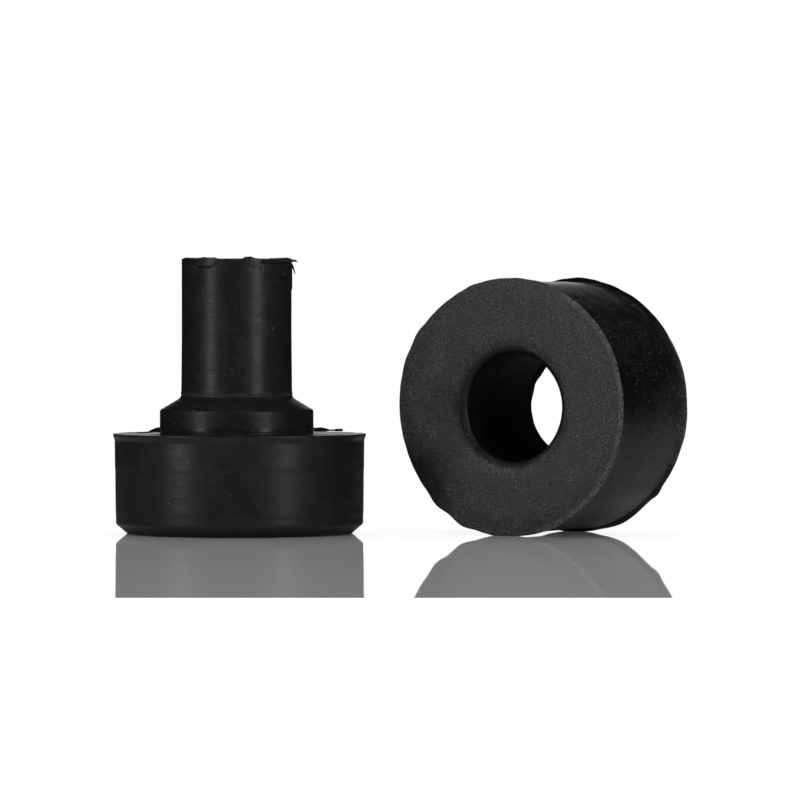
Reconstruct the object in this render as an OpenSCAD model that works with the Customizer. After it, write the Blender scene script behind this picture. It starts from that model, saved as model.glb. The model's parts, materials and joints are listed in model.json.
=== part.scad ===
// Two-part rubber anti-vibration mount: a stepped bush and its loose ring.
// The bush goes up through a hole in the carried plate, the ring drops over its
// spigot from the other side, and one bolt runs down through both.
// Millimetres. The origin is where the bolt hole meets the bush's underside, +Z up.

/* [Disc] */
// Outer diameter of the disc, and of the ring that pairs with it
mount_d = 32.1; // [28:0.1:38]
// Height of the disc
disc_h = 12.8; // [8:0.1:18]
// How much narrower the disc is at its foot than under its lip
disc_taper = 0.2; // [0:0.05:0.6]
// How far the thin flash lip stands out all round the top edge
disc_lip_out = 0.18; // [0.05:0.01:0.4]
// Thickness of that lip at its edge
disc_lip_t = 0.25; // [0.1:0.05:0.5]
// Height over which the lip runs back into the disc's side
disc_lip_h = 0.75; // [0.6:0.05:1.5]
// Width of the chamfer round the foot
foot_w = 1.45; // [0.8:0.05:2.5]
// Height of the chamfer round the foot
foot_h = 1.25; // [0.8:0.05:2.5]
// Rounding of the chamfer's two edges
foot_round = 0.5; // [0.1:0.05:0.6]
// Sideways slip between the mould halves, which sets the disc off the stem
mould_slip = 0.35; // [0:0.05:0.6]

/* [Collar] */
// Diameter of the collar, which seats in the carried plate's hole
collar_d = 19.7; // [17:0.1:24]
// Height of the collar above the disc
collar_h = 3.1; // [1.5:0.1:8]
// Fillet where the collar meets the disc
collar_fillet = 0.35; // [0.1:0.05:0.8]
// Height of the cone from the collar up to the spigot
cone_h = 1.65; // [0.8:0.05:4]

/* [Spigot] */
// Diameter of the straight upper part of the spigot
spigot_d = 14.05; // [12:0.05:16]
// Height of that straight part
spigot_h = 9.2; // [4:0.1:20]
// Height of the tapered part below it, down to the cone
root_h = 8.65; // [3:0.05:15]
// How much wider the tapered part is at its root than at its top
root_taper = 0.15; // [0:0.05:0.4]
// Fillet where the spigot meets the cone
root_fillet = 0.7; // [0.2:0.05:1.2]
// Diameter of the hole for the bolt, right through the bush
bolt_hole_d = 8.5; // [6:0.1:10]

/* [Ring] */
// Thickness of the ring
ring_t = 17.3; // [8:0.1:24]
// How much smaller the ring's bore is than the spigot, so that it grips
ring_grip = 0.25; // [0:0.05:0.5]
// How far the flash lips stand out from the ring's side
ring_lip_out = 0.35; // [0.05:0.05:0.6]
// Thickness of each of those lips at its edge
ring_lip_t = 0.2; // [0.1:0.05:0.5]
// Width over which each lip runs back into the ring's side
ring_lip_w = 1.2; // [0.8:0.1:2]
// Width of the band round the front face that falls away to the edge
crown_w = 2.0; // [0.5:0.1:4]
// How far that band falls back at the edge
crown_h = 0.35; // [0.1:0.05:1]

/* [Bell mouth] */
// Width of the flare round the bore's mouth, which clears the bush's cone
mouth_w = 2.4; // [1:0.1:4]
// Depth of the flare
mouth_h = 1.7; // [0.5:0.1:3]
// How far the flash web at the far end stands into the bore
web_in = 0.25; // [0.1:0.05:0.6]
// Thickness of that web at its edge
web_t = 0.2; // [0.1:0.05:0.5]
// Length over which the web runs back into the bore's wall
web_w = 0.8; // [0.6:0.1:1.5]

/* [Layout] */
// Clear space beside the disc, up to the ring's nearest edge
ring_gap = 4.3; // [2:0.1:20]
// How far the middle of the ring's front face stands in front of the bush's axis
ring_forward = 9.3; // [-10:0.1:20]
// How far the ring is turned towards the bush
ring_turn = 31.5; // [0:0.5:60]

/* [Hidden] */
rubber = "#1c1c1e";
// Facets of a full circle, and steps in each rounded corner
$fn = 144;
corner_steps = 6;
// What a cutter runs past the face it opens
cut = 1;

disc_r = mount_d / 2;
disc_lip_r = disc_r + disc_lip_out;
disc_foot_r = disc_r - disc_taper / 2;
collar_r = collar_d / 2;
skirt_r = collar_r + 2 * collar_fillet;
collar_z = disc_h + collar_h;
cone_z = collar_z + cone_h;
spigot_r = spigot_d / 2;
root_r = spigot_r + root_taper / 2;
root_z = cone_z + root_h;
bush_h = root_z + spigot_h;

ring_r = mount_d / 2;
ring_lip_r = ring_r + ring_lip_out;
bore_r = (spigot_d - ring_grip) / 2;
ring_face_x = mould_slip + disc_lip_r + ring_gap + ring_lip_r * cos(ring_turn);

function unit(v) = v / norm(v);

// Points of an arc of radius r about c, from the direction of a to that of b
function arc_between(c, r, a, b) =
    let (
        start = atan2(a.y - c.y, a.x - c.x),
        turn = atan2(b.y - c.y, b.x - c.x) - start,
        sweep = turn > 180 ? turn - 360 : turn < -180 ? turn + 360 : turn
    )
    [for (i = [0:corner_steps])
        let (angle = start + sweep * i / corner_steps)
        c + r * [cos(angle), sin(angle)]];

// Corner p between a and b, rounded to radius r
function corner(a, p, b, r) =
    r == 0 ? [p] :
    let (
        u = unit(a - p),
        v = unit(b - p),
        half = acos(u * v) / 2,
        run = r / tan(half),
        centre = p + unit(u + v) * r / sin(half)
    )
    arc_between(centre, r, p + u * run, p + v * run);

// Closed outline from corners given as [distance from axis, height, rounding]
function outline(corners) =
    let (n = len(corners), at = [for (c = corners) [c[0], c[1]]])
    [for (i = [0:n - 1])
        each corner(at[(i + n - 1) % n], at[i], at[(i + 1) % n], corners[i][2])];

// Quarter ellipse from [r, z], which widens by w as it rises by h
function flare(r, z, w, h) =
    [for (i = [0:2 * corner_steps])
        let (angle = 90 * i / (2 * corner_steps))
        [r + w * (1 - cos(angle)), z + h * sin(angle)]];

// The broad disc, with its flash lip above and its chamfer below
module disc() {
    rotate_extrude()
        polygon(outline([
            [0, 0, 0],
            [disc_foot_r - foot_w, 0, foot_round],
            [disc_foot_r, foot_h, foot_round],
            [disc_r, disc_h - disc_lip_h, 0],
            [disc_lip_r, disc_h - disc_lip_t, 0],
            [disc_lip_r, disc_h, 0],
            [0, disc_h, 0]
        ]));
}

// Collar, cone and spigot, turned as one stem that is rooted in the disc
module stem() {
    rotate_extrude()
        polygon(outline([
            [0, disc_h / 2, 0],
            [skirt_r, disc_h / 2, 0],
            [skirt_r, disc_h, 0],
            [collar_r, disc_h, collar_fillet],
            [collar_r, collar_z, 0],
            [root_r, cone_z, root_fillet],
            [spigot_r, root_z, 0],
            [spigot_r, bush_h, 0],
            [0, bush_h, 0]
        ]));
}

module bush() {
    color(rubber)
        difference() {
            union() {
                translate([mould_slip, 0, 0])
                    disc();
                stem();
            }
            translate([0, 0, -cut])
                cylinder(d = bolt_hole_d, h = bush_h + 2 * cut);
        }
}

// Half section of the ring, with its front face at height 0 and its back below
module ring_section() {
    polygon(concat(
        flare(bore_r, -mouth_h, mouth_w, mouth_h),
        [
            [ring_lip_r - crown_w, 0],
            [ring_lip_r, -crown_h],
            [ring_lip_r, -crown_h - ring_lip_t],
            [ring_r, -crown_h - ring_lip_w],
            [ring_r, ring_lip_w - ring_t],
            [ring_lip_r, ring_lip_t - ring_t],
            [ring_lip_r, -ring_t],
            [bore_r - web_in, -ring_t],
            [bore_r - web_in, web_t - ring_t],
            [bore_r, web_w - ring_t]
        ]
    ));
}

// The ring stands on its rim beside the bush, turned a little towards it
module ring() {
    color(rubber)
        translate([ring_face_x, -ring_forward, ring_lip_r])
            rotate([90, 0, -ring_turn])
                rotate_extrude()
                    ring_section();
}

bush();
ring();
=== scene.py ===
"""Looks of a two-part rubber anti-vibration mount: a flanged bush and the ring that pairs with it.

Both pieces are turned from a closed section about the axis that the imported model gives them, then
pushed out of true as moulded rubber is: wavy flash lips, a torn spigot end and flaps of flash.
"""

import json
import logging
import math
from dataclasses import dataclass, replace
from enum import Enum

import bmesh
import bpy
import numpy as np
from mathutils import Euler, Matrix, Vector, noise


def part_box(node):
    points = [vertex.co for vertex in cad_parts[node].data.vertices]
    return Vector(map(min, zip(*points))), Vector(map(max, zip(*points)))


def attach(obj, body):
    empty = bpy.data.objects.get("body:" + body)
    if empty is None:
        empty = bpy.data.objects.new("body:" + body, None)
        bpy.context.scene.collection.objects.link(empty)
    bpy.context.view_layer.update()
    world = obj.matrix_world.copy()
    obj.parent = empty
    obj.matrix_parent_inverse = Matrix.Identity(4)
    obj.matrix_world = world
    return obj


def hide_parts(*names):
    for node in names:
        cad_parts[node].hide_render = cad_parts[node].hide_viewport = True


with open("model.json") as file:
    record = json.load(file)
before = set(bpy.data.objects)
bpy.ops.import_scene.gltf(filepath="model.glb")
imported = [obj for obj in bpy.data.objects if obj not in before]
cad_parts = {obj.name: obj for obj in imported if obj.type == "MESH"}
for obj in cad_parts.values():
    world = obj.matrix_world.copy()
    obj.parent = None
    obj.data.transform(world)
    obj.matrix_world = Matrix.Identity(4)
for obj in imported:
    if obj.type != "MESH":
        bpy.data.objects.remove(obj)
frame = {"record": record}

LOG = logging.getLogger("mount")
MM = 0.001
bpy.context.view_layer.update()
RUBBER_IOR = 1.5
SMOOTH_UP_TO = math.radians(40.0)
STAGE_WHITE = (0.78, 0.80, 0.81)
# Painted shade: the glossy plate's colour as reflections see it, darker than its own
REFLECTED_PLATE_SHADE = (0.4, 0.41, 0.42)
# Painted light from below, for the sole of the standing ring
SOLE_PAINTED_LIGHT = (0.21, 0.2, 0.195)
BROWN_GRIME = (0.09, 0.08, 0.065)
# Heights above or below a standing piece's axis, in metres, between which grime, gloss, painted
# light from below or a paler tone sets in
TOP_BAND, CREST_BAND = (0.0115, 0.0155), (0.0152, 0.0163)
FOOT_BAND, SOLE_BAND = (0.0095, 0.0155), (0.0142, 0.0159)
LOWER_HALF, LOWER_PALE_BAND = (-0.006, 0.0), (-0.001, 0.004)
# Depths behind its face between which the lower half grows paler
FAR_BAND = (0.005, 0.017)

Array = np.ndarray
Socket = bpy.types.NodeSocket
Pair = tuple[float, float]
Triple = tuple[float, float, float]


@dataclass(frozen=True)
class Corner:
    """One corner of a turned section, in millimetres.

    Attributes:
        r: Distance from the axis.
        z: Height along the axis.
        run: How far back along its edges the corner is rounded, or 0 for a sharp one.
        gap: Spacing of the points along the edge that leads to the next corner.
    """

    r: float
    z: float
    run: float = 0.0
    gap: float = 0.4


@dataclass(frozen=True)
class Bump:
    """A swelling of a rim, or a dip in it.

    Attributes:
        at: Angle of its middle, in degrees.
        half: Angle from its middle to where it has died away, in degrees.
        out: How far it stands out, in millimetres. Negative for a dip.
    """

    at: float
    half: float
    out: float


def bumps(*rows: Triple) -> tuple[Bump, ...]:
    """Makes bumps of rows that hold the angle, the half width and the height of each."""
    return tuple(Bump(*row) for row in rows)


@dataclass(frozen=True)
class Pull:
    """One step of pulling a tongue of rubber out of a surface, in millimetres.

    Attributes:
        shift: How far the end of the tongue moves.
        scale: What its end is scaled by, about its own middle.
    """

    shift: Triple
    scale: float = 1.0

@dataclass(frozen=True)
class Tongue:
    """A tongue of rubber that is pulled out of a wall, in millimetres.

    Attributes:
        name: What the log calls it.
        at: Angle of its root's middle, in degrees.
        half: How far the root reaches to either side of that, in degrees.
        r: Distance of the wall from the axis.
        slack: How far the wall may stand from there.
        low: Height of the root's lower edge.
        high: Height of its upper edge.
        pulls: Steps of the tongue, from root to tip.
    """

    name: str
    at: float
    half: float
    r: float
    slack: float
    low: float
    high: float
    pulls: tuple[Pull, ...]


def smooth_step(value: Array, low: float, high: float) -> Array:
    """Rises smoothly from 0 at one value to 1 at another.

    Args:
        value: Numbers to judge.
        low: Where the rise starts.
        high: Where it ends.

    Returns:
        The share of the rise at each number.
    """
    t = np.clip((value - low) / (high - low), 0.0, 1.0)
    return t * t * (3.0 - 2.0 * t)


def window(value: Array, a: float, b: float, c: float, d: float) -> Array:
    """Rises smoothly from 0 at a to 1 at b, and falls back to 0 between c and d."""
    return smooth_step(value, a, b) * (1.0 - smooth_step(value, c, d))


def apart(angle: Array, at: float) -> Array:
    """Works out how far angles are from another one, in degrees, the shorter way round."""
    return np.abs((angle - at + 180.0) % 360.0 - 180.0)


def polar(points: Array) -> tuple[Array, Array]:
    """Works out how far points are from the Z axis, and their angle in degrees."""
    x, y = points[:, 0], points[:, 1]
    return np.hypot(x, y), np.degrees(np.arctan2(y, x))


def bump_sum(angle: Array, *bumps: Bump) -> Array:
    """Works out how far a rim stands out at each angle, in degrees, by all of its bumps."""
    shares = (1.0 - smooth_step(apart(angle, bump.at), 0.0, bump.half) for bump in bumps)
    return sum(bump.out * share for bump, share in zip(bumps, shares))


def ripple(points: Array, size: float, seed: float) -> Array:
    """Smooth noise over space, the same at each run.

    Args:
        points: Places, in millimetres.
        size: Width of one ripple, in millimetres.
        seed: Offset that sets one ripple pattern apart from another.

    Returns:
        Values from about -1 to 1, one for each place.
    """
    offset = Vector((seed, 2.0 * seed, -seed))
    return np.array([noise.noise(Vector(p) / size + offset) for p in points])


def read_points(obj: bpy.types.Object) -> Array:
    """Reads a mesh's vertices, in millimetres."""
    flat = np.empty(len(obj.data.vertices) * 3)
    obj.data.vertices.foreach_get("co", flat)
    return flat.reshape(-1, 3) / MM


def write_points(obj: bpy.types.Object, points: Array) -> None:
    """Writes a mesh's vertices, given in millimetres."""
    obj.data.vertices.foreach_set("co", (points * MM).ravel())
    obj.data.update()


def mount(name: str) -> dict:
    """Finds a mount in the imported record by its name."""
    return next(m for m in frame["record"]["mounts"] if m["name"] == name)


def select_only(obj: bpy.types.Object) -> None:
    """Selects one piece alone and makes it the active one."""
    bpy.ops.object.select_all(action="DESELECT")
    obj.select_set(True)
    bpy.context.view_layer.objects.active = obj


@dataclass
class TurnedPiece:
    """A closed section turned about the Z axis, made as by hand in edit mode.

    Attributes:
        name: Name of the piece.
        corners: Corners of its section, in order.
        steps: Number of steps in a full turn.
    """

    name: str
    corners: list[Corner]
    steps: int

    def build(self) -> bpy.types.Object:
        """Draws the section, rounds and divides it, and turns it.

        Returns:
            The turned piece, with its axis on Z.
        """
        self._draw()
        self._round()
        self._divide()
        bpy.ops.mesh.select_all(action="SELECT")
        bpy.ops.mesh.spin(steps=self.steps, angle=math.tau, center=(0, 0, 0), axis=(0, 0, 1))
        bpy.ops.mesh.select_all(action="SELECT")
        bpy.ops.mesh.remove_doubles(threshold=0.002 * MM)
        bpy.ops.mesh.normals_make_consistent(inside=False)
        bpy.ops.object.mode_set(mode="OBJECT")
        return self.obj

    def _draw(self) -> None:
        """Extrudes one vertex from corner to corner and closes the loop."""
        bpy.ops.object.select_all(action="DESELECT")
        bpy.ops.mesh.primitive_plane_add(size=MM, location=(0.0, 0.0, 0.0))
        self.obj = bpy.context.object
        self.obj.name = self.obj.data.name = self.name
        bpy.ops.object.mode_set(mode="EDIT")
        bpy.ops.mesh.select_mode(type="VERT")
        bpy.ops.mesh.select_all(action="SELECT")
        bpy.ops.mesh.merge(type="CENTER")
        start = self.corners[0]
        bpy.ops.transform.translate(value=(start.r * MM, 0.0, start.z * MM))
        for here, there in zip(self.corners, self.corners[1:]):
            step = ((there.r - here.r) * MM, 0.0, (there.z - here.z) * MM)
            bpy.ops.mesh.extrude_vertices_move(TRANSFORM_OT_translate={"value": step})
        self._select_near([self.corners[0], self.corners[-1]])
        bpy.ops.mesh.edge_face_add()

    def _select_near(self, corners: list[Corner]) -> None:
        """Selects only the vertices that lie at the given corners."""
        bpy.ops.mesh.select_all(action="DESELECT")
        mesh = bmesh.from_edit_mesh(self.obj.data)
        for corner in corners:
            place = Vector((corner.r * MM, 0.0, corner.z * MM))
            nearest = min(mesh.verts, key=lambda v: (v.co - place).length)
            nearest.select = True
        mesh.select_flush(True)
        bmesh.update_edit_mesh(self.obj.data)

    def _round(self) -> None:
        """Bevels the vertex at each corner that has a rounding."""
        for corner in self.corners:
            if corner.run > 0.0:
                self._select_near([corner])
                run = corner.run * MM
                bpy.ops.mesh.bevel(offset=run, segments=6, affect="VERTICES", clamp_overlap=True)

    def _gap_at(self, middle: Vector) -> float:
        """Finds the point spacing, in millimetres, of the section edge that a place lies on.

        Args:
            middle: The place, which is the middle of a short edge, in metres.

        Returns:
            The spacing.
        """
        gaps = []
        for here, there in zip(self.corners, self.corners[1:] + self.corners[:1]):
            a, b = (Vector((corner.r, 0.0, corner.z)) * MM for corner in (here, there))
            share = max(0.0, min(1.0, (middle - a).dot(b - a) / (b - a).length_squared))
            gaps.append(((middle - a.lerp(b, share)).length, here.gap))
        return min(gaps, key=lambda pair: pair[0])[1]

    def _divide(self) -> None:
        """Divides each long edge of the section to its own spacing."""
        wanted: dict[int, list[tuple[Vector, Vector]]] = {}
        mesh = bmesh.from_edit_mesh(self.obj.data)
        for edge in mesh.edges:
            a, b = (v.co.copy() for v in edge.verts)
            cuts = math.ceil((b - a).length / MM / self._gap_at((a + b) / 2)) - 1
            if cuts > 0:
                wanted.setdefault(cuts, []).append((a, b))
        for cuts, ends in wanted.items():
            bpy.ops.mesh.select_all(action="DESELECT")
            mesh = bmesh.from_edit_mesh(self.obj.data)
            for edge in mesh.edges:
                places = [v.co for v in edge.verts]
                if any({tuple(p) for p in places} == {tuple(a), tuple(b)} for a, b in ends):
                    edge.select_set(True)
            bmesh.update_edit_mesh(self.obj.data)
            bpy.ops.mesh.subdivide(number_cuts=cuts)


def pull_tongue(obj: bpy.types.Object, tongue: Tongue) -> None:
    """Pulls a tongue of rubber out of a piece by extruding some of its faces.

    Args:
        obj: The piece.
        tongue: Where the tongue grows from, and how.
    """
    select_only(obj)
    bpy.ops.object.mode_set(mode="EDIT")
    bpy.ops.mesh.select_mode(type="FACE")
    bpy.ops.mesh.select_all(action="DESELECT")
    mesh = bmesh.from_edit_mesh(obj.data)
    middles = np.array([face.calc_center_median() for face in mesh.faces]) / MM
    r, angle = polar(middles)
    wall = (np.abs(r - tongue.r) < tongue.slack) & (apart(angle, tongue.at) < tongue.half)
    band = (middles[:, 2] > tongue.low) & (middles[:, 2] < tongue.high)
    chosen = np.flatnonzero(wall & band)
    mesh.faces.ensure_lookup_table()
    for index in chosen:
        mesh.faces[int(index)].select_set(True)
    bmesh.update_edit_mesh(obj.data)
    for pull in tongue.pulls:
        step = tuple(MM * part for part in pull.shift)
        bpy.ops.mesh.extrude_region_move(TRANSFORM_OT_translate={"value": step})
        mesh = bmesh.from_edit_mesh(obj.data)
        places = [v.co for v in mesh.verts if v.select]
        middle = sum(places, Vector()) / len(places)
        size = (pull.scale,) * 3
        bpy.ops.transform.resize(value=size, center_override=tuple(middle))
    bpy.ops.object.mode_set(mode="OBJECT")
    LOG.info("%s grows from %d faces", tongue.name, len(chosen))


class Sockets(Enum):
    """Kinds of socket that the shader groups use."""

    NUMBER = "NodeSocketFloat"
    VECTOR = "NodeSocketVector"


class NodeSheet:
    """A node tree with short calls for adding and joining nodes."""

    def __init__(self, tree: bpy.types.NodeTree) -> None:
        """Takes the tree that nodes are added to."""
        self.tree = tree

    def fill(self, node: bpy.types.Node, values: dict) -> None:
        """Sets a node's inputs, by name or number, to values or to what sockets give."""
        for key, value in values.items():
            if isinstance(value, Socket):
                self.tree.links.new(value, node.inputs[key])
            else:
                node.inputs[key].default_value = value

    def add(self, kind: str, values: dict | None = None, **settings: object) -> bpy.types.Node:
        """Adds a node.

        Args:
            kind: Blender's name for the node's type.
            values: Values of its inputs, by input name or number.
            settings: Properties of the node itself.

        Returns:
            The node.
        """
        node = self.tree.nodes.new(kind)
        for key, value in settings.items():
            setattr(node, key, value)
        self.fill(node, values or {})
        return node

    def maths(self, operation: str, *values: object) -> Socket:
        """Adds a sum of numbers or sockets and returns its result."""
        node = self.add("ShaderNodeMath", dict(enumerate(values)), operation=operation)
        return node.outputs[0]

    def times(self, value: object, by: object) -> Socket:
        """Multiplies two numbers or sockets and returns the result."""
        return self.maths("MULTIPLY", value, by)

    def times_plus(self, value: object, by: object, plus: object) -> Socket:
        """Multiplies two numbers or sockets, adds a third and returns the result."""
        return self.maths("MULTIPLY_ADD", value, by, plus)

    def ramp(self, value: Socket, low: float, high: float) -> Socket:
        """Maps a value from between two limits to 0 to 1, smoothly, and returns the result."""
        values = {"Value": value, "From Min": low, "From Max": high}
        node = self.add("ShaderNodeMapRange", values, interpolation_type="SMOOTHSTEP")
        return node.outputs["Result"]

    def part(self, vector: Socket, axis: str) -> Socket:
        """Takes a vector's part along one axis and returns it."""
        return self.add("ShaderNodeSeparateXYZ", {"Vector": vector}).outputs[axis]

    def mapped(self, vector: Socket, kind: str, turn: Triple, shift: Triple = (0, 0, 0)) -> Socket:
        """Turns and shifts a vector, as a point or into a texture's own axes, and returns it."""
        values = {"Vector": vector, "Location": shift, "Rotation": turn}
        return self.add("ShaderNodeMapping", values, vector_type=kind).outputs[0]

    def noise(self, place: Socket, scale: float, detail: float, roughness: float) -> Socket:
        """Adds smooth noise and returns its value."""
        values = {"Vector": place, "Scale": scale, "Detail": detail, "Roughness": roughness}
        return self.add("ShaderNodeTexNoise", values).outputs["Fac"]

    def lines(self, place: Socket, length: float, width: float, across: str) -> Socket:
        """Adds noise that is stretched into lines.

        Args:
            place: Where the surface point lies.
            length: Scale of the noise along the lines.
            width: Scale of the noise across them.
            across: Axis that runs across the lines.

        Returns:
            The noise.
        """
        scales = {axis: width if axis == across else length for axis in "XYZ"}
        scaled = {axis: self.times(self.part(place, axis), scales[axis]) for axis in "XYZ"}
        stretched = self.add("ShaderNodeCombineXYZ", scaled).outputs[0]
        return self.noise(stretched, scale=1.0, detail=3.0, roughness=0.6)

    def mix(self, share: Socket, below: object, above: object) -> Socket:
        """Mixes two colours, each a plain one or a socket.

        Args:
            share: How much of the second colour there is.
            below: The first colour.
            above: The second colour.

        Returns:
            The mixed colour.
        """
        mixed = self.add("ShaderNodeMix", {"Factor": share}, data_type="RGBA", clamp_factor=True)
        for socket, value in zip((s for s in mixed.inputs if s.type == "RGBA"), (below, above)):
            if isinstance(value, Socket):
                self.tree.links.new(value, socket)
            else:
                socket.default_value = (*value, 1.0)
        return next(s for s in mixed.outputs if s.type == "RGBA")


def new_material(name: str) -> tuple[bpy.types.Material, NodeSheet, bpy.types.Node]:
    """Starts a material and returns it with its sheet and its shader."""
    made = bpy.data.materials.new(name)
    made.use_nodes = True
    return made, NodeSheet(made.node_tree), made.node_tree.nodes["Principled BSDF"]


def new_group(
    name: str, numbers: dict[str, float], outputs: tuple[str, ...]
) -> tuple[NodeSheet, bpy.types.bpy_prop_collection]:
    """Starts a shader node group that takes a place and puts out numbers.

    Args:
        name: Name of the group.
        numbers: Default of each number that it takes too.
        outputs: Names of what it puts out.

    Returns:
        The group's sheet, and the sockets of what it takes.
    """
    tree = bpy.data.node_groups.new(name, "ShaderNodeTree")
    tree.interface.new_socket("Place", in_out="INPUT", socket_type=Sockets.VECTOR.value)
    for key, default in numbers.items():
        socket = tree.interface.new_socket(key, in_out="INPUT", socket_type=Sockets.NUMBER.value)
        socket.default_value = default
    for key in outputs:
        tree.interface.new_socket(key, in_out="OUTPUT", socket_type=Sockets.NUMBER.value)
    sheet = NodeSheet(tree)
    return sheet, sheet.add("NodeGroupInput").outputs


def rubber_grain_group() -> None:
    """Makes the fine skin of moulded rubber: its height and a slow patchiness, from 0 to 1."""
    sheet, given = new_group("rubber_grain", {}, ("Height", "Patch"))
    fine = sheet.noise(given["Place"], scale=4200.0, detail=4.0, roughness=0.75)
    slow = sheet.noise(given["Place"], scale=420.0, detail=4.0, roughness=0.6)
    patch = sheet.ramp(slow, 0.3, 0.7)
    depth = sheet.times_plus(patch, 1.1, 0.25)
    height = sheet.times_plus(sheet.maths("SUBTRACT", fine, 0.5), depth, 0.5)
    sheet.add("NodeGroupOutput", {"Height": height, "Patch": patch})


def dust_group() -> None:
    """Makes a mask of scattered specks of dust."""
    numbers = {"Scale": 900.0, "Share": 0.1, "Spread": 0.12}
    sheet, given = new_group("dust_specks", numbers, ("Mask",))
    values = {"Vector": given["Place"], "Scale": given["Scale"]}
    cells = sheet.add("ShaderNodeTexVoronoi", values).outputs
    chance = sheet.add("ShaderNodeSeparateColor", {"Color": cells["Color"]}).outputs
    kept = sheet.maths("LESS_THAN", chance["Red"], given["Share"])
    size = sheet.maths("POWER", chance["Green"], 2.0)
    reach = sheet.times_plus(size, given["Spread"], 0.05)
    near = sheet.maths("LESS_THAN", cells["Distance"], reach)
    shade_of = sheet.times_plus(chance["Blue"], 0.75, 0.15)
    sheet.add("NodeGroupOutput", {"Mask": sheet.times(sheet.times(kept, near), shade_of)})


def streak_group() -> None:
    """Makes the fine lines, from 0 to 1, that a turned mould leaves round the Z axis."""
    sheet, given = new_group("mould_streaks", {}, ("Line",))
    lines = sheet.lines(given["Place"], length=110.0, width=2600.0, across="Z")
    sheet.add("NodeGroupOutput", {"Line": sheet.ramp(lines, 0.38, 0.72)})


def scratch_group() -> None:
    """Makes fine scratches, from 0 to 1, that run three ways across a face that looks along Z."""
    sheet, given = new_group("scratches", {}, ("Line",))
    total = 0.0
    for turn in (0.45, 1.5, 2.55):
        turned = sheet.mapped(given["Place"], "POINT", (0.0, 0.0, turn))
        lines = sheet.lines(turned, length=170.0, width=3600.0, across="Y")
        total = sheet.maths("MAXIMUM", total, sheet.ramp(lines, 0.585, 0.66))
    sheet.add("NodeGroupOutput", {"Line": total})


@dataclass(frozen=True)
class Patterns:
    """What a rubber surface varies by, as sockets of its material."""

    grain: Socket
    patch: Socket
    specks: Socket
    streak: Socket
    scratch: Socket
    face: Socket
    up: Socket
    rise: Socket
    along: Socket
    place: Socket


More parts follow.
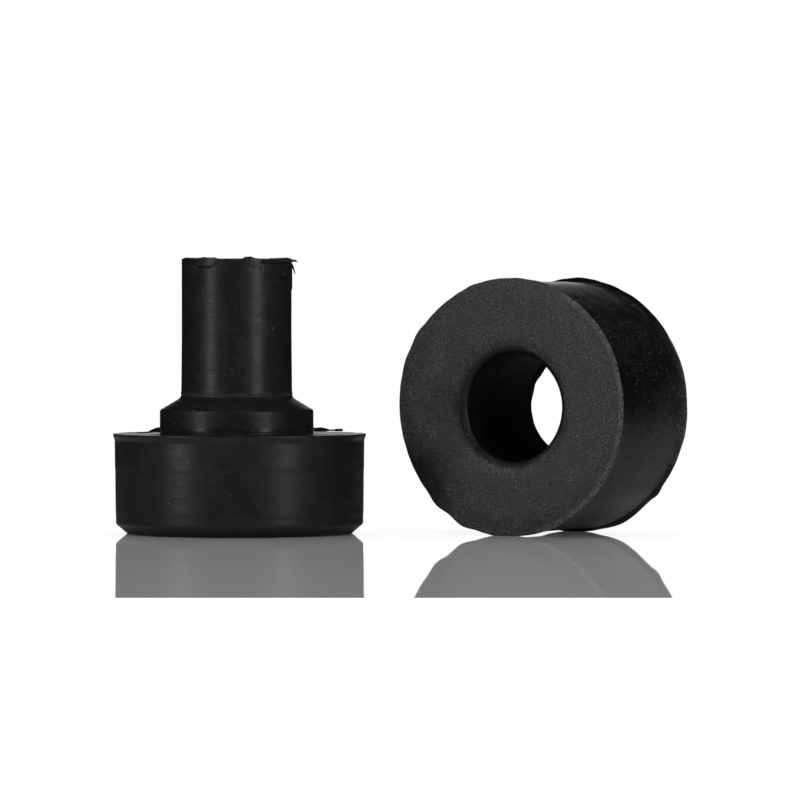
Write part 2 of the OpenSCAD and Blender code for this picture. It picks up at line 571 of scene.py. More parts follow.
@dataclass(frozen=True)
class RubberFinish:
    """Black moulded rubber, with a grain, dust, scratches and the mould's fine lines, and painted
    light and shade.

    Attributes:
        name: Name of the material.
        rubber: Colour of the clean rubber.
        bloom: Colour of the film of dust on it.
        film: How much of the film lies on the sides.
        face_film: How much of it lies on a face that looks along the piece's axis.
        face_from: How nearly along the axis a face has to look, as a cosine.
        roughness: Roughness of the sides.
        face_roughness: Roughness of such a face.
        shine: Strength of its reflection, where 0.5 is that of clean rubber.
        grain: Depth of the skin, in metres.
        stipple: How far the skin's grain breaks up the film.
        dust: Share of the wide cells that hold a speck of dust.
        fine_dust: Share of the fine cells that hold one.
        streaks: Strength of the mould's lines on the sides.
        scratches: Strength of the scratches on the faces.
        settled: How much dust has settled on what looks upwards.
        foot: How much painted light from below pales the lowest part of a piece that stands on its
            rim.
        grime: How much brown grime lies on the top of such a piece.
        polished: Heights along the axis between which the sides are glossier, in metres.
        sunk: Depth at which a sunken face has most of its film taken off by painted shade, and the
            depth
        at which that starts, in metres. Both 0 where nothing is sunken.
        far_paling: How much paler the lower half grows towards the far end of the axis.
        highlight_band: Heights along the axis between which the sides carry a painted highlight, in
            metres.
        shade_spots: Spots of painted shade, where the film is thinned, each as its place across the
            axis and
        its radius, in metres.
    """

    name: str
    rubber: Triple = (0.005, 0.005, 0.0052)
    bloom: Triple = (0.085, 0.083, 0.082)
    film: float = 0.02
    face_film: float = 0.1
    face_from: float = 0.8
    roughness: float = 0.4
    face_roughness: float = 0.45
    shine: float = 0.35
    grain: float = 1e-5
    stipple: float = 0.4
    dust: float = 0.05
    fine_dust: float = 0.02
    streaks: float = 0.2
    scratches: float = 0.0
    settled: float = 0.0
    foot: float = 0.0
    grime: float = 0.0
    polished: Pair = (0.0, 0.0)
    sunk: Pair = (0.0, 0.0)
    far_paling: float = 0.0
    highlight_band: Pair = (0.0, 0.0)
    shade_spots: tuple[Triple, ...] = ()

    def make(self, centre: Vector, turn: Triple) -> bpy.types.Material:
        """Builds the material for a piece.

        Args:
            centre: Where the pattern's centre lies, in metres.
            turn: How the pattern is turned, so that its Z runs along the piece's axis.

        Returns:
            The material.
        """
        made, sheet, shader = new_material(self.name)
        seen = self._patterns(sheet, centre, turn)
        values = {
            "Base Color": self._colour(sheet, seen),
            "Roughness": self._roughness(sheet, seen),
            "Normal": self._relief(sheet, seen),
            "IOR": RUBBER_IOR,
            "Specular IOR Level": self.shine,
        }
        sheet.fill(shader, values)
        return made

    def _patterns(self, sheet: NodeSheet, centre: Vector, turn: Triple) -> Patterns:
        """Places the shader groups on the piece.

        Args:
            sheet: The material's nodes.
            centre: Where the pattern's centre lies, in metres.
            turn: How the pattern is turned.

        Returns:
            The patterns that the surface varies by.
        """
        spot = sheet.add("ShaderNodeTexCoord").outputs
        place = sheet.mapped(spot["Object"], "TEXTURE", turn, centre)
        facing = sheet.mapped(spot["Normal"], "TEXTURE", turn)
        tilt = sheet.maths("ABSOLUTE", sheet.part(facing, "Z"))
        face = sheet.ramp(tilt, self.face_from, self.face_from + 0.12)

        def placed(name: str, **values: object) -> bpy.types.bpy_prop_collection:
            """Adds a shader group at the pattern's place and returns its outputs."""
            group = bpy.data.node_groups[name]
            values["Place"] = place
            return sheet.add("ShaderNodeGroup", values, node_tree=group).outputs

        skin = placed("rubber_grain")
        wide = placed("dust_specks", Scale=900.0, Share=self.dust)["Mask"]
        fine = placed("dust_specks", Scale=2300.0, Share=self.fine_dust, Spread=0.3)["Mask"]
        line = sheet.times(placed("mould_streaks")["Line"], sheet.maths("SUBTRACT", 1.0, face))
        scratch = sheet.times(placed("scratches")["Line"], face)
        return Patterns(
            grain=skin["Height"],
            patch=skin["Patch"],
            specks=sheet.maths("MAXIMUM", wide, sheet.times(fine, 0.6)),
            streak=sheet.times(line, sheet.times(skin["Patch"], self.streaks)),
            scratch=sheet.times(scratch, self.scratches),
            face=face,
            up=sheet.part(spot["Normal"], "Z"),
            rise=sheet.part(place, "Y"),
            along=sheet.part(place, "Z"),
            place=place,
        )

    def _colour(self, sheet: NodeSheet, seen: Patterns) -> Socket:
        """Mixes the rubber's colour with its film, streaks, specks, grime and painted light and
        shade, and returns it.
        """
        fallen, behind = sheet.times(seen.rise, -1.0), sheet.times(seen.along, -1.0)
        film = sheet.times_plus(seen.face, self.face_film - self.film, self.film)
        film = sheet.times_plus(sheet.ramp(seen.up, 0.1, 0.6), self.settled, film)
        deep, shallow = self.sunk
        # Painted shade: the film thins where a face lies sunken behind its plane
        if deep > shallow:
            kept = sheet.ramp(seen.along, -deep, -shallow)
            film = sheet.times(film, sheet.times_plus(kept, 0.65, 0.35))
        # Painted shade: round spots where the film is thinned, left of the mouth and at the face's
        # lower left
        for x, y, radius in self.shade_spots:
            ends = {0: seen.place, 1: (x, y, 0.0)}
            away = sheet.add("ShaderNodeVectorMath", ends, operation="DISTANCE").outputs["Value"]
            whole = sheet.ramp(away, 0.3 * radius, radius)
            film = sheet.times(film, sheet.times_plus(whole, 0.45, 0.55))
        # Painted highlight: a paler band round the sides
        if self.highlight_band[1] > self.highlight_band[0]:
            film = sheet.times_plus(self._band(sheet, seen, self.highlight_band), 0.11, film)
        # Paler towards the far end in the lower half, and a little paler just below the axis
        if self.far_paling > 0.0:
            far = sheet.times(sheet.ramp(behind, *FAR_BAND), sheet.ramp(fallen, *LOWER_HALF))
            film = sheet.times_plus(far, self.far_paling, film)
            film = sheet.times_plus(sheet.ramp(fallen, *LOWER_PALE_BAND), 0.06, film)
        # Painted light from below: the lowest part paler, for light thrown up by the plate
        film = sheet.times_plus(sheet.ramp(fallen, *FOOT_BAND), self.foot, film)
        film = sheet.times(film, sheet.times_plus(seen.patch, 0.5, 0.75))
        broken = sheet.times_plus(seen.grain, 5.0 * self.stipple, 1.0 - 2.5 * self.stipple)
        film = sheet.times(film, sheet.maths("MAXIMUM", broken, 0.0))
        film = sheet.times_plus(seen.streak, 0.06, film)
        film = sheet.times_plus(seen.scratch, 0.15, film)
        # The film, specks and painted light and shade mixed into the rubber's colour
        dust_and_painted_light = sheet.mix(sheet.maths("MAXIMUM", film, seen.specks), self.rubber, self.bloom)
        # Painted light from below: the sole mixed towards a pale colour
        if self.foot > 0.0:
            sole = sheet.times(sheet.ramp(fallen, *SOLE_BAND), 0.55)
            dust_and_painted_light = sheet.mix(sole, dust_and_painted_light, SOLE_PAINTED_LIGHT)
        top = sheet.times(sheet.ramp(seen.rise, *TOP_BAND), seen.patch)
        return sheet.mix(sheet.times(top, self.grime), dust_and_painted_light, BROWN_GRIME)

    def _roughness(self, sheet: NodeSheet, seen: Patterns) -> Socket:
        """Varies the roughness by face, patch and streak, and returns it."""
        spread = self.face_roughness - self.roughness
        rough = sheet.times_plus(seen.face, spread, self.roughness)
        rough = sheet.times_plus(seen.patch, 0.1, rough)
        rough = sheet.times_plus(seen.grain, 0.3 * self.stipple, rough)
        rough = sheet.maths("ADD", rough, -0.15 * self.stipple)
        rough = sheet.times_plus(seen.streak, -0.12, rough)
        if self.grime > 0.0:
            crest = sheet.ramp(seen.rise, *CREST_BAND)
            rough = sheet.times_plus(crest, -0.2, rough)
        if self.polished[1] > self.polished[0]:
            band = self._band(sheet, seen, self.polished)
            rough = sheet.times_plus(band, -0.11, rough)
        return rough

    @staticmethod
    def _band(sheet: NodeSheet, seen: Patterns, heights: Pair) -> Socket:
        """Marks a band round the piece between two heights along its axis.

        Args:
            sheet: The material's nodes.
            seen: The surface's patterns.
            heights: Where the band starts and ends, in metres.

        Returns:
            The band's strength, from 0 to 1.
        """
        fade = 0.00015
        start = sheet.ramp(seen.along, heights[0] - fade, heights[0])
        end = sheet.ramp(seen.along, heights[1], heights[1] + fade)
        return sheet.times(start, sheet.maths("SUBTRACT", 1.0, end))

    def _relief(self, sheet: NodeSheet, seen: Patterns) -> Socket:
        """Raises the skin's grain, the lines and the specks, and returns the normal."""
        height = sheet.times_plus(seen.streak, 0.8, seen.grain)
        height = sheet.times_plus(seen.scratch, -1.2, height)
        height = sheet.times_plus(seen.specks, 1.5, height)
        values = {"Height": height, "Strength": 1.0, "Distance": self.grain}
        return sheet.add("ShaderNodeBump", values).outputs["Normal"]


@dataclass
class Bush:
    """The flanged bush, from its disc up to its spigot. Sizes are in millimetres."""

    name: str = "rubber_bush"
    steps: int = 288
    lip_out: float = 0.18
    lip_t: float = 0.25
    lip_h: float = 0.75
    taper: float = 0.1
    foot_w: float = 1.45
    foot_h: float = 1.25
    foot_run: float = 0.2
    cone_h: float = 1.65
    root_out: float = 0.075
    root_run: float = 0.4
    torn_h: float = 2.2
    flap_out: float = 0.05
    flap_drop: float = 1.0
    undercut: float = 0.18
    waves: tuple[Bump, ...] = bumps(
        (-170.0, 12.0, 0.05), (-20.0, 15.0, 0.05), (5.0, 9.0, 0.06),
    )
    end_waves: tuple[Bump, ...] = bumps(
        (-155.0, 24.0, 0.13), (-126.0, 8.0, 0.16), (-106.0, 9.0, -0.08), (-90.0, 14.0, -0.14),
        (-74.0, 7.0, 0.24), (-20.0, 16.0, 0.1), (-48.0, 22.0, -0.08), (60.0, 30.0, 0.08),
        (135.0, 24.0, -0.08),
    )

    def __post_init__(self) -> None:
        """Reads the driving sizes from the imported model."""
        low, high = (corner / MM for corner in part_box("bush"))
        self.top = high.z
        self.lip_r = (high.y - low.y) / 2.0
        self.slip = (high.x + low.x) / 2.0
        self.hole_r = mount("bolt_hole")["dims"]["r_mm"]
        self.spigot_r = mount("spigot")["dims"]["r_mm"]
        self.spigot_h = mount("spigot")["dims"]["length_mm"]
        self.collar_r = mount("collar")["dims"]["r_mm"]
        self.collar_z = mount("collar")["pos_m"][2] / MM
        self.disc_z = mount("plate_seat")["pos_m"][2] / MM

    def corners(self) -> list[Corner]:
        """Works out the corners of the bush's section.

        Returns:
            The corners, from the foot of the bolt hole round to its top.
        """
        disc_r = self.lip_r - self.lip_out
        foot_r = disc_r - self.taper
        return [
            Corner(self.hole_r, 0.0, 0.2, 0.6),
            Corner(foot_r - self.foot_w, 0.0, self.foot_run, 0.3),
            Corner(foot_r, self.foot_h, self.foot_run, 0.3),
            Corner(disc_r, self.disc_z - self.lip_h, 0.0, 0.15),
            Corner(self.lip_r, self.disc_z - self.lip_t, 0.0, 0.1),
            Corner(self.lip_r, self.disc_z, 0.06, 0.3),
            Corner(self.collar_r, self.disc_z, 0.3, 0.3),
            Corner(self.collar_r, self.collar_z, 0.2, 0.25),
            Corner(self.spigot_r + self.root_out, self.collar_z + self.cone_h, self.root_run, 0.4),
            Corner(self.spigot_r, self.top - self.spigot_h, 0.0, 0.4),
            Corner(self.spigot_r, self.top - self.torn_h, 0.0, 0.13),
            Corner(self.spigot_r, self.top, 0.1, 0.2),
            Corner(self.hole_r, self.top, 0.15, 1.2),
        ]

    def build(self) -> bpy.types.Object:
        """Turns the bush, pushes it out of true, adds its torn flash and returns it."""
        obj = TurnedPiece(self.name, self.corners(), self.steps).build()
        write_points(obj, self._moulded(read_points(obj)))
        for tongue in self._tongues():
            pull_tongue(obj, tongue)
        return obj

    def zones(self, places: Array) -> list[tuple[RubberFinish, Array]]:
        """Tells the bolt hole, which gets painted shade, from the rest of the bush.

        Args:
            places: Middles of its faces, in millimetres.

        Returns:
            The finish that differs from the bush's own, with the faces that have it.
        """
        r, z = polar(places)[0], places[:, 2]
        # The bolt hole gets the bores' painted shade
        return [(BORE_SHADE, (r < self.hole_r + 0.1) & (z > 0.3) & (z < self.top - 0.3))]

    def _moulded(self, points: Array) -> Array:
        """Moves the turned points to where the moulding has them.

        Args:
            points: Vertices, in millimetres.

        Returns:
            The moved vertices.
        """
        (r, angle), z = polar(points), points[:, 2]
        outer = r > self.hole_r + 0.3
        disc = (z < self.disc_z + 0.01) & outer
        stem = (z > self.disc_z + 0.3) & outer

        lip = np.where(disc, smooth_step(z, self.disc_z - self.lip_h, self.disc_z - self.lip_t), 0)
        lip *= smooth_step(r, self.lip_r - 1.0, self.lip_r - 0.2)
        out = lip * (bump_sum(angle, *self.waves) + 0.05 * ripple(points, 2.5, 1.0))
        uneven = 0.03 * ripple(points, 7.0, 2.0) + 0.008 * ripple(points, 1.2, 3.0)
        out += np.where(outer, uneven, 0)
        side = np.where(disc & (r > self.lip_r - 1.0), 1.0, 0.0)
        for line_z in (2.6, 8.4):
            out += side * 0.03 * smooth_step(z, line_z - 0.12, line_z + 0.12)

        left = smooth_step(np.abs(angle), 100.0, 160.0)
        bead = 1.0 - smooth_step(np.abs(z - self.collar_z - self.cone_h - 0.55), 0.08, 0.3)
        out += np.where(stem, 0.03 + 0.05 * left + 0.09 * bead, 0.0)
        near_end = np.where(stem, smooth_step(z, self.top - 0.9, self.top - 0.1), 0.0)
        out += near_end * (0.05 * ripple(points, 1.1, 4.0) + 0.05 * ripple(points, 0.35, 9.0))
        out += np.where(stem, self._torn(points, angle, z), 0.0)
        rise = near_end * (bump_sum(angle, *self.end_waves) + 0.05 * ripple(points, 0.9, 5.0))

        slip = np.where(disc, smooth_step(r, self.collar_r + 0.6, self.collar_r + 2.2), 0.0)
        moved = points.copy()
        moved[:, 0] += slip * self.slip + out * points[:, 0] / r
        moved[:, 1] += out * points[:, 1] / r
        moved[:, 2] += rise + lip * (0.07 + 0.04 * ripple(points, 2.0, 6.0))
        moved[:, 2] = np.maximum(moved[:, 2], 0.0)
        return moved

    def _torn(self, points: Array, angle: Array, z: Array) -> Array:
        """Shapes what torn flash has left on the spigot.

        Args:
            points: Vertices, in millimetres.
            angle: Angle of each, in degrees.
            z: Height of each.

        Returns:
            How far each moves outwards.
        """
        top = self.top
        # The flap of flash that is folded down over the front
        edge = top - self.flap_drop
        edge = edge + self.flap_drop * smooth_step(angle, -116.0, -104.0)
        edge = edge + self.flap_drop * smooth_step(-angle, 136.0, 144.0)
        above = smooth_step(z, edge - 0.06, edge + 0.02)
        under = smooth_step(z, edge - 0.32, edge - 0.2) * (1.0 - above)
        under *= 1.0 - smooth_step(angle, -122.0, -112.0)
        under *= 1.0 - 0.8 * smooth_step(-angle, 132.0, 142.0)
        across = np.where(z < top - 0.05, window(angle, -149.0, -134.0, -110.0, -98.0), 0.0)
        out = across * (self.flap_out * above - self.undercut * under)
        # The dark crease below the torn end at the right
        dark = 1.0 - smooth_step(np.abs(z - (top - 0.5)), 0.08, 0.24)
        out -= 0.16 * window(angle, -64.0, -56.0, -20.0, -8.0) * dark
        # The right side, where flash was torn away and some of it stands proud
        right = window(angle, -42.0, -34.0, -12.0, 4.0) * smooth_step(z, top - 4.4, top - 3.4)
        front = window(angle, -76.0, -71.0, -62.0, -56.0) * smooth_step(z, top - 2.0, top - 1.5)
        proud = window(angle, -24.0, -10.0, 10.0, 24.0)
        proud *= window(z, top - 4.1, top - 3.7, top - 1.1, top - 0.8)
        out += np.maximum(right, 0.25 * front) * 0.19 * ripple(points, 0.33, 7.0)
        return out + 0.1 * proud

    def _tongues(self) -> tuple[Tongue, ...]:
        """Lists the wisps of flash above the disc, and the spigot's torn tag and hook."""
        left = (
            Pull((-0.5, 0.0, 0.0), 0.85), Pull((-0.5, 0.0, -0.12), 0.72),
            Pull((-0.55, 0.0, -0.16), 0.5), Pull((-0.77, 0.1, -0.05), 0.9),
            Pull((-0.72, 0.1, -0.02), 0.8),
        )
        right = (
            Pull((0.2, 0.0, -0.02), 0.8), Pull((0.7, 0.0, 0.03), 1.15),
            Pull((0.65, 0.0, -0.05), 0.85), Pull((0.5, 0.0, -0.06), 0.45),
            Pull((0.6, -0.1, 0.0), 1.0), Pull((0.35, -0.1, 0.03), 1.7),
            Pull((0.7, 0.0, 0.0), 0.95), Pull((0.1, 0.0, 0.0), 0.6),
        )
        tag = (
            Pull((0.3, 0.0, 0.02), 0.85), Pull((0.28, 0.0, -0.03), 0.75),
            Pull((0.2, 0.0, -0.13), 0.4),
        )
        hook = (
            Pull((0.2, 0.0, -0.28), 1.0), Pull((0.16, 0.0, -0.4), 0.95),
            Pull((0.06, 0.0, -0.3), 0.8), Pull((0.03, 0.0, -0.14), 0.5),
        )
        wall, side = (self.collar_r, 0.25), (self.spigot_r, 0.2)
        foot, end = self.disc_z, self.top
        return (
            Tongue("left wisp of flash", 180.0, 2.0, *wall, foot + 0.2, foot + 0.95, left),
            Tongue("right wisp of flash", 0.0, 2.0, *wall, foot + 0.3, foot + 0.93, right),
            Tongue("torn tag", -3.0, 5.0, *side, end - 0.42, end - 0.08, tag),
            Tongue("torn hook", -3.0, 5.0, *side, end - 1.1, end - 0.5, hook),
        )


@dataclass
class Ring:
    """The ring, which stands on its rim beside the bush. Sizes are in millimetres."""

    name: str = "rubber_ring"
    steps: int = 384
    lip_out: float = 0.35
    lip_t: float = 0.2
    lip_w: float = 1.2
    crown_w: float = 2.0
    crown_h: float = 0.35
    mouth_w: float = 2.4
    mouth_h: float = 1.7
    web_in: float = 0.25
    web_t: float = 0.2
    web_w: float = 0.8
    mouth_steps: int = 14
    front_waves: tuple[Bump, ...] = bumps(
        (74.0, 7.0, 0.11), (110.0, 6.0, 0.11), (146.0, 8.0, 0.2), (160.0, 7.0, 0.12),
        (156.0, 34.0, 0.16), (205.0, 64.0, 0.22), (217.0, 28.0, 0.2), (196.0, 24.0, -0.09),
        (228.0, 8.0, 0.22), (245.0, 9.0, 0.36), (262.0, 12.0, 0.12), (30.0, 14.0, 0.1),
        (325.0, 16.0, 0.12),
    )
    back_waves: tuple[Bump, ...] = bumps(
        (88.0, 14.0, 0.15), (52.0, 9.0, 0.03), (16.0, 18.0, 0.06), (295.0, 14.0, 0.26),
        (317.0, 5.0, 0.2), (350.0, 12.0, 0.1), (150.0, 16.0, 0.12), (205.0, 12.0, 0.1),
    )
    web_waves: tuple[Bump, ...] = bumps(
        (142.0, 14.0, -0.18), (165.0, 12.0, -0.12), (60.0, 16.0, -0.12), (300.0, 20.0, -0.1),
    )

    def __post_init__(self) -> None:
        """Reads the driving sizes and the ring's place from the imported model."""
        low, high = (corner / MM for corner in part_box("ring"))
        bore, seat, back = (mount(name) for name in ("ring_bore", "ring_seat", "ring_back"))
        axis = Vector(seat["axis"])
        on_axis, on_seat, on_back = (Vector(m["pos_m"]) / MM for m in (bore, seat, back))
        self.lip_r = (high.z - low.z) / 2.0
        self.bore_r = bore["dims"]["r_mm"]
        self.thick = (on_seat - on_back).dot(axis)
        self.centre = on_axis + axis * (on_seat - on_axis).dot(axis)
        # How the ring is turned from lying on Z to standing on its rim
        self.placing = (math.pi / 2.0, 0.0, -math.atan2(-axis.x, -axis.y))

    def corners(self) -> list[Corner]:
        """Works out the corners of the ring's section, with its front face at height 0.

        Returns:
            The corners, from the bore's mouth round to its far end.
        """
        ring_r = self.lip_r - self.lip_out
        web_r = self.bore_r - self.web_in
        mouth = []
        for step in range(self.mouth_steps + 1):
            share = math.pi / 2.0 * step / self.mouth_steps
            r = self.bore_r + self.mouth_w * (1.0 - math.cos(share))
            mouth.append(Corner(r, self.mouth_h * (math.sin(share) - 1.0)))
        return mouth + [
            Corner(self.lip_r - self.crown_w, 0.0, 0.7, 0.3),
            Corner(self.lip_r, -self.crown_h, 0.05, 0.1),
            Corner(self.lip_r, -self.crown_h - self.lip_t, 0.0, 0.2),
            Corner(ring_r, -self.crown_h - self.lip_w, 0.5, 0.4),
            Corner(ring_r, self.lip_w - self.thick, 0.5, 0.2),
            Corner(self.lip_r, self.lip_t - self.thick, 0.0, 0.1),
            Corner(self.lip_r, -self.thick, 0.05, 0.4),
            Corner(web_r, -self.thick, 0.0, 0.1),
            Corner(web_r, self.web_t - self.thick, 0.0, 0.2),
            Corner(self.bore_r, self.web_w - self.thick, 0.0, 0.5),
        ]

    def build(self) -> bpy.types.Object:
        """Turns the ring, pushes it out of true, stands it in its place and returns it."""
        obj = TurnedPiece(self.name, self.corners(), self.steps).build()
        write_points(obj, self._moulded(read_points(obj)))
        obj.location = self.centre * MM
        obj.rotation_euler = self.placing
        select_only(obj)
        bpy.ops.object.transform_apply(location=True, rotation=True, scale=True)
        points = read_points(obj)
        points[:, 2] = np.maximum(points[:, 2], 0.0)
        write_points(obj, points)
        return obj

    def zones(self, places: Array) -> list[tuple[RubberFinish, Array]]:
        """Tells the rim, its lips and the bore, which carry painted light and shade, from the
        ring's faces.

        Args:
            places: Middles of its faces, in millimetres.

        Returns:
            Each finish that differs from the ring's own, with the faces that have it.
        """
        own = (places - np.array(self.centre)) @ np.array(Euler(self.placing).to_matrix())
        r, angle = polar(own)
        angle %= 360.0
        depth = -own[:, 2] - self._fall(r, angle)
        rim_from = self.crown_h + 0.15
        rim = (r > self.lip_r - 0.8) & (depth > rim_from) & (depth < self.thick - 0.03)
        # The right side, where the rim's back edge gets a painted highlight
        dust_and_painted_light = (angle > 340.0) | (angle < 34.0)
        clean = (angle > 42.0) & (angle < 333.0)
        off_dent = (angle < 198.0) | (angle > 240.0)
        # The lip carries a painted highlight along the face's rounded outer edge, kept off the dent
        lip = off_dent & (r > self.lip_r - 0.6) & (depth < rim_from)
        return [
            (RING_RIM, rim),
            (RIM_EDGE, rim & dust_and_painted_light & (depth > self.thick - 0.45)),
            (CLEAN_EDGE, rim & clean & (depth > self.thick - 1.1)),
            (RING_LIP, lip),
            (LIP_HIGHLIGHT, lip & ((angle < 62.0) | (angle > 284.0))),
            (BORE_SHADE, (r < self.bore_r + 0.12) & (depth > 0.5 * self.mouth_h)),
        ]

    def _fall(self, r: Array, angle: Array) -> Array:
        """Works out how far the front face has sunk behind its plane.

        Args:
            r: Distance of each place from the axis.
            angle: Angle of each place, in degrees.

        Returns:
            How deep it lies at each place.
        """
        broad = bump_sum(angle, Bump(188.0, 72.0, 0.16))
        dent = bump_sum(angle, Bump(217.0, 30.0, 0.66))
        funnel = bump_sum(angle, Bump(178.0, 65.0, 0.45))
        return (
            broad * smooth_step(r, self.bore_r + 1.5, self.lip_r)
            + dent * smooth_step(r, self.lip_r - 5.5, self.lip_r - 0.3)
            + funnel * (1.0 - smooth_step(r, self.bore_r + 1.5, self.bore_r + 6.0))
        )

    def _moulded(self, points: Array) -> Array:
        """Moves the turned points to where the moulding has them.

        Args:
            points: Vertices, in millimetres, with the ring's axis on Z.

        Returns:
            The moved vertices.
        """
        r, angle = polar(points)
        angle %= 360.0
        z = points[:, 2]
        edge = smooth_step(r, self.lip_r - self.lip_out - 0.6, self.lip_r)
        front = edge * smooth_step(z, -self.crown_h - self.lip_w, -self.crown_h - self.lip_t)
        back = edge * smooth_step(-z, self.thick - self.lip_w, self.thick - self.lip_t)
        web = np.where(r < self.bore_r - 0.02, 1.0, 0.0)
        small = ripple(points, 1.6, 11.0)
        out = front * (0.09 + bump_sum(angle, *self.front_waves) + 0.06 * small)
        out += back * (0.09 + bump_sum(angle, *self.back_waves) + 0.06 * small)
        out += web * (bump_sum(angle, *self.web_waves) + 0.06 * small)
        worn = 1.0 - smooth_step(r, self.bore_r + 0.3, self.bore_r + 2.0)
        worn *= smooth_step(z, -9.0, -4.0)
        out += worn * bump_sum(angle, Bump(5.0, 60.0, 0.13))
        out += 0.02 * ripple(points, 6.0, 12.0)
        moved = points.copy()
        moved[:, 0] += out * points[:, 0] / r
        moved[:, 1] += out * points[:, 1] / r
        flat = smooth_step(r, self.bore_r + 0.5, self.bore_r + 3.0) * (1.0 - edge)
        moved[:, 2] += flat * 0.03 * ripple(points, 5.0, 13.0)
        face = smooth_step(z, -2.0, -0.6)
        moved[:, 2] -= face * self._fall(r, angle)
        return moved


@dataclass
class Studio:
    """The stage, lamps and camera. Sizes are in metres."""

    plate_left: float = -0.090
    plate_right: float = 0.130
    plate_front: float = -0.154
    plate_back: float = 4.0
    room_r: float = 1.6
    window_half: float = 10.0
    window_top: float = 20.0
    sky: float = 0.9
    softbox_size: Pair = (0.2, 1.1)
    softbox_level: float = 6.4
    softbox_far: float = 1.15
    camera_at: Triple = (0.02104, -0.6785, 0.02853)
    camera_dip: float = 0.958
    lens: float = 236.7
    lit: bpy.types.Collection | None = None

    def build(self) -> None:
        """Builds the stage, the lamps, the world and the camera."""
        self.lit = bpy.data.collections.new("softbox_lights_these")
        self._table()
        self._room()
        self._lamps()
        self._world()
        self._camera()

    @staticmethod
    def _white(
        name: str, colour: Triple, roughness: float, lift: float, above: float
    ) -> bpy.types.Material:
        """Makes a pale stage material that the camera sees a little lifted towards white.

        Args:
            name: Name of the material.
            colour: Its colour.
            roughness: Its roughness.
            lift: Light added for camera rays alone.
            above: Light added to that where the camera looks down on the sheet.

        Returns:
            The material.
        """
        made, sheet, shader = new_material(name)
        seen = sheet.add("ShaderNodeLightPath").outputs["Is Camera Ray"]
        flat = sheet.add("ShaderNodeLayerWeight", {"Blend": 0.5}).outputs["Facing"]
        steep = sheet.maths("SUBTRACT", 1.0, sheet.ramp(flat, 0.74, 0.94))
        values = {
            "Base Color": (*colour, 1.0),
            "Roughness": roughness,
            "Emission Color": (1.0, 1.0, 1.0, 1.0),
            "Emission Strength": sheet.times(seen, sheet.times_plus(steep, above, lift)),
        }
        sheet.fill(shader, values)
        return made

    @staticmethod
    def _lay(
        name: str, low: Vector, high: Vector, material: bpy.types.Material, mirrored: bool
    ) -> None:
        """Lays a flat stage sheet.

        Args:
            name: Name of the sheet.
            low: Its front left corner.
            high: Its back right corner.
            material: Its material.
            mirrored: Whether glossy rays see it.
        """
        bpy.ops.object.select_all(action="DESELECT")
        bpy.ops.mesh.primitive_plane_add(size=1.0, location=(low + high) / 2.0)
        plane = bpy.context.object
        plane.name = name
        plane.scale = (high.x - low.x, high.y - low.y, 1.0)
        bpy.ops.object.transform_apply(location=True, rotation=True, scale=True)
        plane.data.materials.append(material)
        plane.visible_glossy = mirrored

    def _table(self) -> None:
        """Lays the matt table and the glossy plate on it, which alone is seen in reflections, and
        there in a darker grey, a painted shade.
        """
        matt = self._white("matt_white", (0.8, 0.8, 0.8), 1.0, 0.95, 0.0)
        self._lay("floor", Vector((-4, -4, -2e-5)), Vector((4, 4, -2e-5)), matt, False)
        glossy = self._white("glossy_white", STAGE_WHITE, 0.02, 0.05, 0.22)
        sheet = NodeSheet(glossy.node_tree)
        # Painted shade: reflections see the plate in a darker grey than the camera does
        ray = sheet.add("ShaderNodeLightPath").outputs["Is Glossy Ray"]
        values = {
            "Coat Weight": 0.5,
            "Coat Roughness": 0.02,
            "Base Color": sheet.mix(ray, STAGE_WHITE, REFLECTED_PLATE_SHADE),
        }
        sheet.fill(glossy.node_tree.nodes["Principled BSDF"], values)
        for name, left, right in (
            ("plate", self.plate_left, self.plate_right),
            ("plate_left", -self.plate_back, self.plate_left),
            ("plate_right", self.plate_right, self.plate_back),
        ):
            low, high = Vector((left, self.plate_front, 0.0)), Vector((right, self.plate_back, 0.0))
            self._lay(name, low, high, glossy, name == "plate")

    def _room(self) -> None:
        """Hangs the dark room that only reflections see, with a window behind the mount."""
        bpy.ops.object.select_all(action="DESELECT")
        bpy.ops.mesh.primitive_uv_sphere_add(segments=72, ring_count=54, radius=self.room_r)
        room = bpy.context.object
        room.name = "dark_room"
        bpy.ops.object.mode_set(mode="EDIT")
        bpy.ops.mesh.select_mode(type="FACE")
        bpy.ops.mesh.select_all(action="DESELECT")
        mesh = bmesh.from_edit_mesh(room.data)
        for face in mesh.faces:
            middle = face.calc_center_median()
            aside = abs(math.degrees(math.atan2(middle.x, middle.y)))
            rise = math.degrees(math.atan2(middle.z, math.hypot(middle.x, middle.y)))
            face.select_set(aside < self.window_half and -4.0 < rise < self.window_top)
        bmesh.update_edit_mesh(room.data)
        bpy.ops.mesh.delete(type="FACE")
        bpy.ops.object.mode_set(mode="OBJECT")
        black, sheet, shader = new_material("room_black")
        sheet.fill(shader, {"Base Color": (0.0, 0.0, 0.0, 1.0), "Specular IOR Level": 0.0})
        room.data.materials.append(black)
        room.visible_camera = room.visible_diffuse = room.visible_shadow = False
        room.visible_transmission = False

    def _lamps(self) -> None:
        """Hangs two tall softboxes and a wide overhead lamp."""
        for name, side in (("softbox_left", -54.2), ("softbox_right", 44.2)):
            turn = math.radians(side)
            place = Vector((math.sin(turn), -math.cos(turn), 0.18)) * self.softbox_far
            self._lamp(name, place, self.softbox_size, self.softbox_level, True)
        self._lamp("overhead", Vector((0.02, 0.2, 1.3)), (1.2, 1.2), 1.3, False)

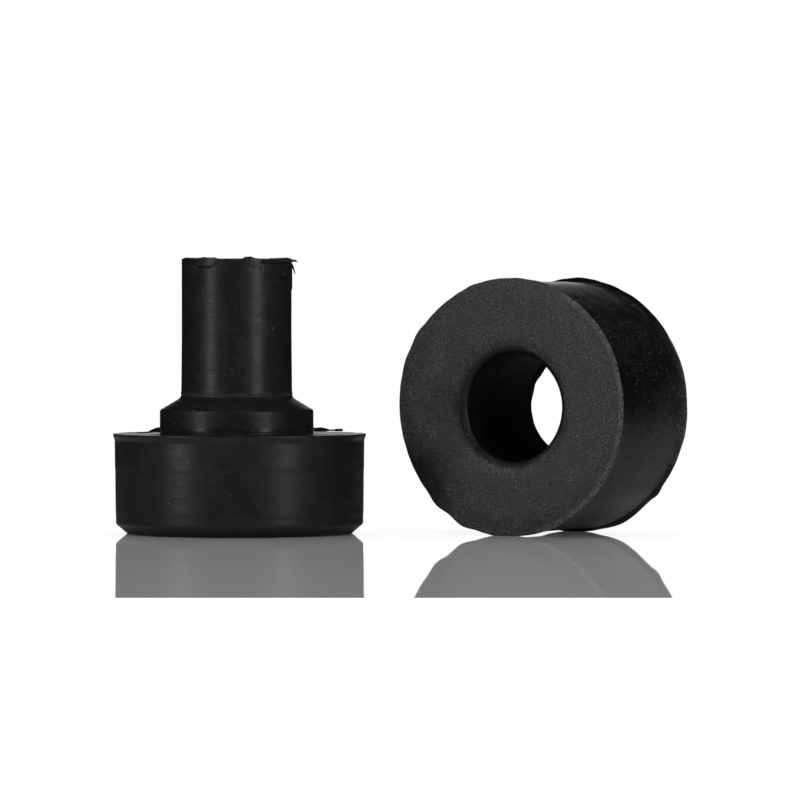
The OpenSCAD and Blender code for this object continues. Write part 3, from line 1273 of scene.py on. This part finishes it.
    def _lamp(self, name: str, place: Vector, size: Pair, level: float, seen: bool) -> None:
        """Hangs a soft lamp that looks at the mount.

        Args:
            name: Name of the lamp.
            place: Where it hangs.
            size: Its width and height.
            level: Brightness of its face, where 1 is white.
            seen: Whether reflections show it.
        """
        data = bpy.data.lights.new(name, "AREA")
        data.shape = "RECTANGLE"
        data.size, data.size_y = size
        data.energy = level * math.pi * size[0] * size[1]
        lamp = bpy.data.objects.new(name, data)
        bpy.context.scene.collection.objects.link(lamp)
        lamp.location = place
        lamp.rotation_euler = (-place).to_track_quat("-Z", "Y").to_euler()
        lamp.visible_camera = False
        lamp.visible_glossy = seen
        if seen:
            lamp.light_linking.receiver_collection = self.lit

    def _world(self) -> None:
        """Makes the world white to the camera and to reflections, and dimmer as light."""
        world = bpy.data.worlds.new("studio")
        bpy.context.scene.world = world
        world.use_nodes = True
        sheet = NodeSheet(world.node_tree)
        path = sheet.add("ShaderNodeLightPath").outputs
        white = path["Is Camera Ray"]
        for ray in ("Is Glossy Ray", "Is Transmission Ray"):
            white = sheet.maths("MAXIMUM", white, path[ray])
        strength = sheet.times_plus(white, 1.0 - self.sky, self.sky)
        values = {"Color": (1.0, 1.0, 1.0, 1.0), "Strength": strength}
        sheet.fill(world.node_tree.nodes["Background"], values)

    def _camera(self) -> None:
        """Sets up the camera at the photograph's place."""
        data = bpy.data.cameras.new("camera")
        data.lens = self.lens
        data.sensor_width = 36.0
        data.clip_start, data.clip_end = 0.01, 20.0
        camera = bpy.data.objects.new("camera", data)
        bpy.context.scene.collection.objects.link(camera)
        camera.location = self.camera_at
        camera.rotation_euler = (math.radians(90.0 - self.camera_dip), 0.0, 0.0)
        bpy.context.scene.camera = camera
        bpy.context.scene.view_settings.view_transform = "Standard"


# The pale band round the spigot's root is a painted highlight
BUSH_RUBBER = RubberFinish(
    name="satin_rubber", rubber=(0.0055, 0.0055, 0.0058), bloom=(0.09, 0.084, 0.079), film=0.03,
    face_from=0.88, roughness=0.35, face_roughness=0.3, grain=7e-6, stipple=0.6, dust=0.04,
    fine_dust=0.09, streaks=1.0, polished=(0.01318, 0.01356), highlight_band=(0.01776, 0.01808),
)
# Painted shade on the face: its sunken parts and three round spots at the left and lower left
RING_FACE = RubberFinish(
    name="dull_face", film=0.05, face_film=0.27, roughness=0.34, grain=3e-5, stipple=2.1,
    dust=0.06, fine_dust=0.15, streaks=0.0, scratches=0.8, settled=0.2, sunk=(0.0009, 0.00025),
    shade_spots=((-0.0098, 0.0, 0.0046), (-0.0085, -0.0048, 0.004), (-0.0124, -0.0092, 0.0044)),
)
# Painted highlight along the face's rounded outer edge, brighter on the right side
RING_LIP = replace(RING_FACE, name="pale_lip", film=0.22, face_film=0.28, sunk=(0.0013, 0.0006))
LIP_HIGHLIGHT = replace(RING_LIP, name="dusty_lip", film=0.42, face_film=0.5)
# The rim's lowest part is paled by painted light from below
RING_RIM = RubberFinish(
    name="dusty_rim", rubber=(0.0028, 0.0028, 0.0029), film=0.008, face_film=0.05,
    face_roughness=0.5, shine=0.28, stipple=2.6, dust=0.12, fine_dust=0.85, streaks=0.1,
    settled=0.05, foot=0.9, grime=0.44, far_paling=0.14,
)
# Painted highlight along the rim's back edge on the right side
RIM_EDGE = replace(RING_RIM, name="dusty_edge", film=0.32, face_film=0.32)
# The rim's back edge elsewhere: fewer specks, and none of the settled dust, grime, far paling or
# painted light from below
CLEAN_EDGE = replace(
    RING_RIM, name="clean_edge", fine_dust=0.2, settled=0.0, foot=0.0, grime=0.0, far_paling=0.0
)
# Painted shade: a darker rubber that barely reflects, for the shade deep in the bores
BORE_SHADE = RubberFinish(
    name="dark_bore", rubber=(0.003, 0.003, 0.0031), film=0.01, face_film=0.01, roughness=0.6,
    face_roughness=0.6, shine=0.06, dust=0.01, fine_dust=0.0, streaks=0.1,
)


def dress(
    piece: Bush | Ring, finish: RubberFinish, centre: Vector, turn: Triple
) -> bpy.types.Object:
    """Builds a piece, smooths it up to its sharp edges and gives each zone its material.

    Args:
        piece: The piece.
        finish: The finish of what is in none of its zones.
        centre: Where the piece's axis is centred, in metres.
        turn: How its axis is turned from Z.

    Returns:
        The finished piece.
    """
    obj = piece.build()
    select_only(obj)
    bpy.ops.object.shade_smooth_by_angle(angle=SMOOTH_UP_TO)
    middles = np.empty(len(obj.data.polygons) * 3)
    obj.data.polygons.foreach_get("center", middles)
    slots = np.zeros(len(obj.data.polygons), dtype=np.int32)
    obj.data.materials.clear()
    obj.data.materials.append(finish.make(centre, turn))
    for number, (other, held) in enumerate(piece.zones(middles.reshape(-1, 3) / MM), start=1):
        obj.data.materials.append(other.make(centre, turn))
        slots[held] = number
    obj.data.polygons.foreach_set("material_index", slots)
    obj.data.update()
    return obj


def hand_over(obj: bpy.types.Object, node: str) -> None:
    """Makes a piece stand for its CAD node and logs its size.

    Args:
        obj: The piece.
        node: The CAD node that it replaces.
    """
    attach(obj, "root")
    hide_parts(node)
    size = ", ".join(f"{part / MM:.2f}" for part in obj.dimensions)
    LOG.info("%s: %d faces, %s mm", obj.name, len(obj.data.polygons), size)


def main() -> None:
    """Builds the mount, its stage and its camera."""
    logging.basicConfig(level=logging.INFO, format="%(name)s: %(message)s")
    studio = Studio()
    studio.build()
    for make_group in (rubber_grain_group, dust_group, streak_group, scratch_group):
        make_group()
    bush = dress(Bush(), BUSH_RUBBER, Vector(), (0.0, 0.0, 0.0))
    hand_over(bush, "bush")
    standing = Ring()
    ring = dress(standing, RING_FACE, standing.centre * MM, standing.placing)
    hand_over(ring, "ring")
    for piece in (bush, ring):
        studio.lit.objects.link(piece)


if __name__ == "__main__":
    main()
